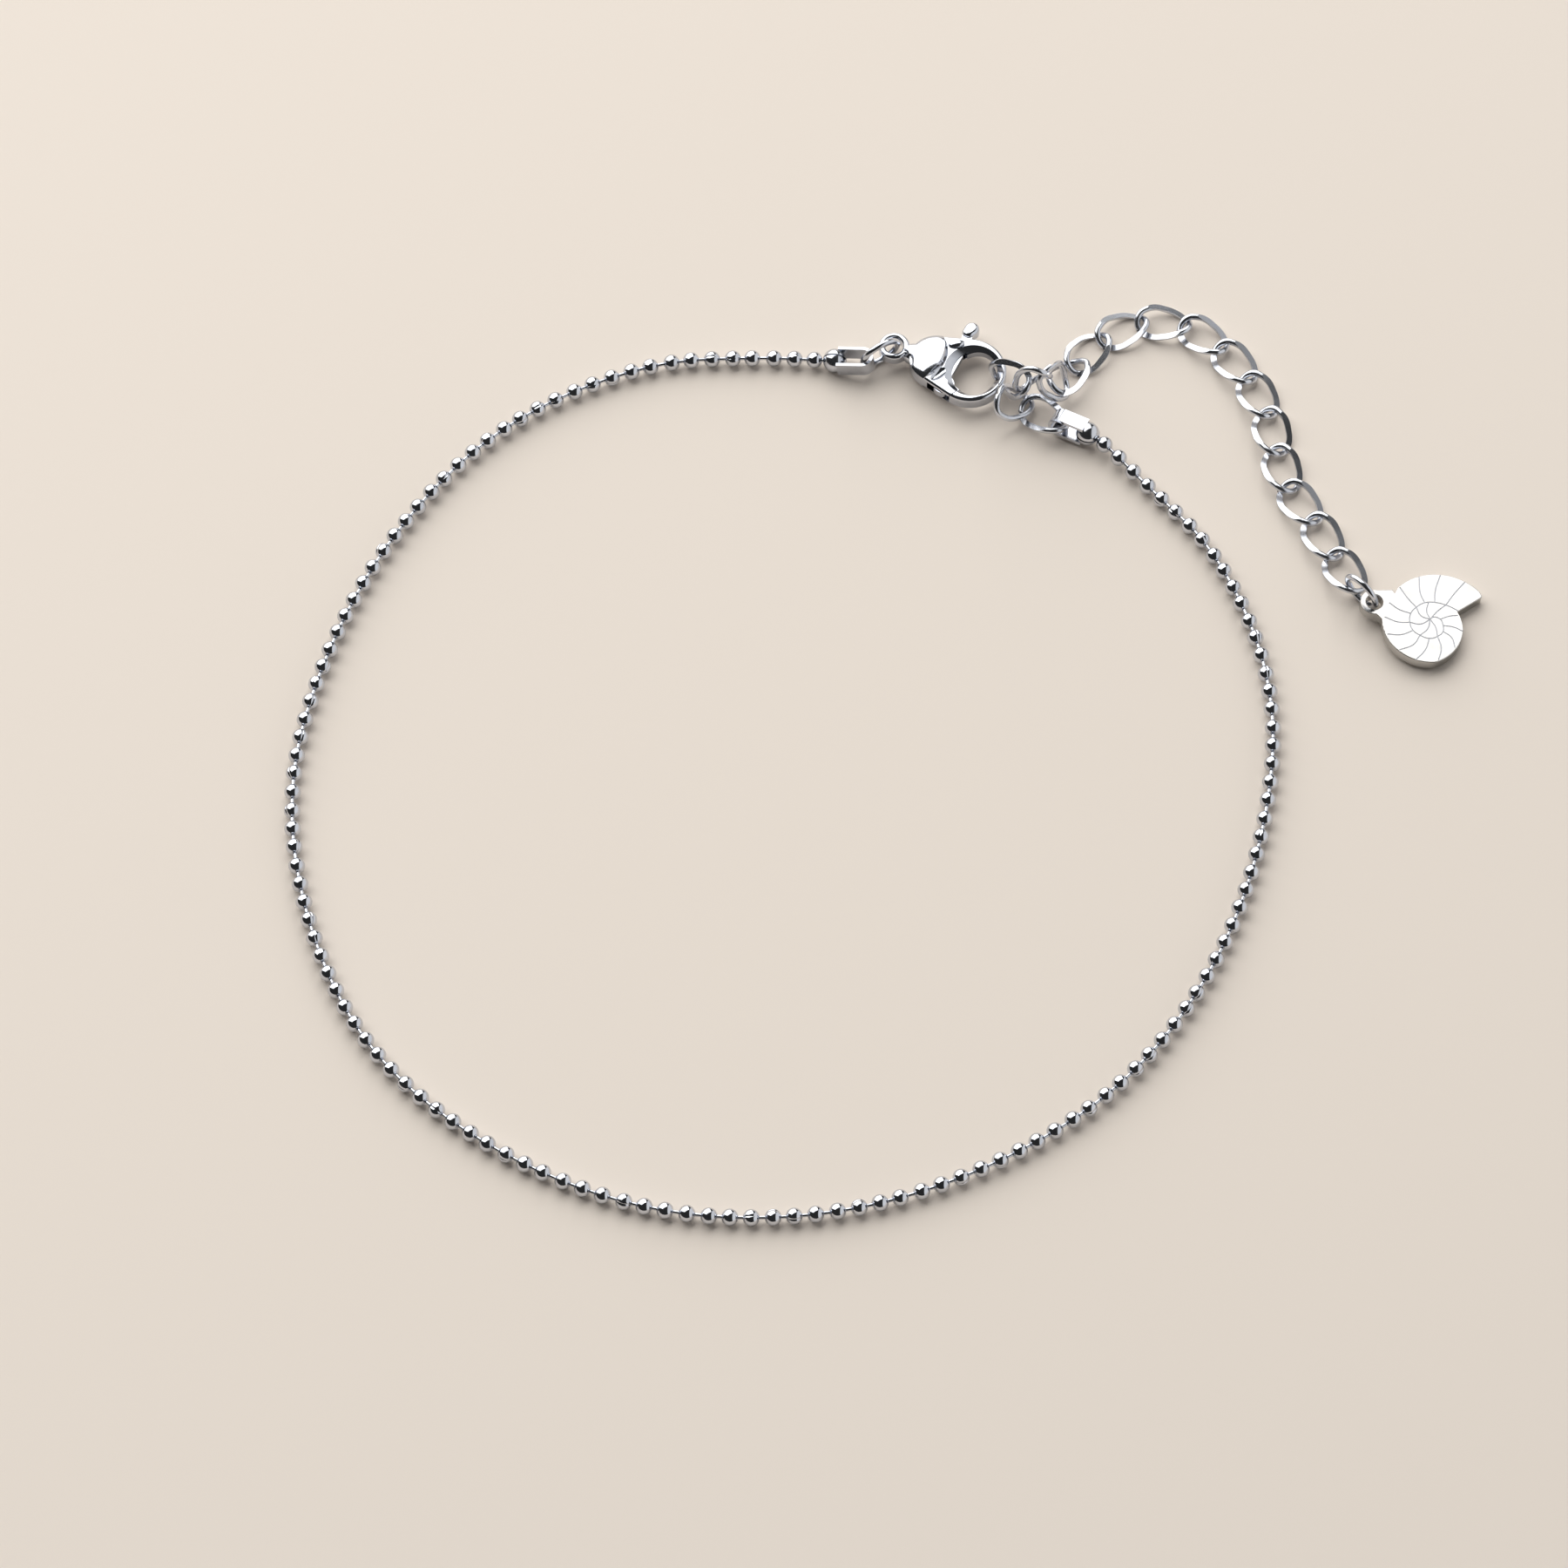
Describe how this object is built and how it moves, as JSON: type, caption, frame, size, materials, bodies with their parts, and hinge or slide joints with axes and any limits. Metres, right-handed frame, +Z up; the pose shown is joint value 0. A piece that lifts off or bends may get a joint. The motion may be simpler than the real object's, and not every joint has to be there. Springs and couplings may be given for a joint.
{
  "type": "chain anklet",
  "caption": "Fine ball-chain anklet lying in a closed loop, fastened by a lobster clasp with a sprung lever, with a curb extender chain and a flat nautilus-shell charm.",
  "frame": {"origin": "under the middle of the bounding box, on the surface that the anklet lies on", "axes": "+X along the longest extent, from the loop towards the charm; +Z up from the surface; the clasp is on the +Y side"},
  "size_m": [0.0938, 0.0824, 0.0059],
  "materials": {
    "ball_chain_steel": "polished stainless balls joined by thin bars",
    "connector_steel": "bright pressed stainless strip",
    "clasp_steel": "tumbled and polished cast stainless",
    "link_steel": "polished wire with bright ground flats",
    "ring_steel": "polished wire",
    "charm_steel": "flat mirror polish with fine etched lines"
  },
  "bodies": {
    "anklet": {"bead_chain": "ball_chain_steel", "end_connector_clasp_side": "connector_steel", "end_connector_extender_side": "connector_steel", "clasp_body": "clasp_steel", "clasp_rivet": "clasp_steel", "clasp_jump_ring": "ring_steel", "extender_link_01": "link_steel", "extender_link_02": "link_steel", "extender_link_03": "link_steel", "extender_link_04": "link_steel", "extender_link_05": "link_steel", "extender_link_06": "link_steel", "extender_link_07": "link_steel", "extender_link_08": "link_steel", "extender_link_09": "link_steel", "extender_link_10": "link_steel", "extender_link_11": "link_steel", "extender_link_12": "link_steel", "extender_link_13": "link_steel", "extender_link_14": "link_steel", "extender_link_15": "link_steel", "extender_link_16": "link_steel", "extender_link_17": "link_steel", "charm_ring": "ring_steel", "shell_charm": "charm_steel"},
    "lever": {"clasp_lever": "clasp_steel"}
  },
  "joints": [
    {"name": "lever_hinge", "type": "hinge", "parent": "anklet", "child": "lever", "pos_m": [0.00472, 0.03307, 0.0012], "axis": [0, 0, 1], "range_deg": [0, 12], "stiffness_Nm_per_rad": 0.00002, "springref_deg": -11.46}
  ]
}
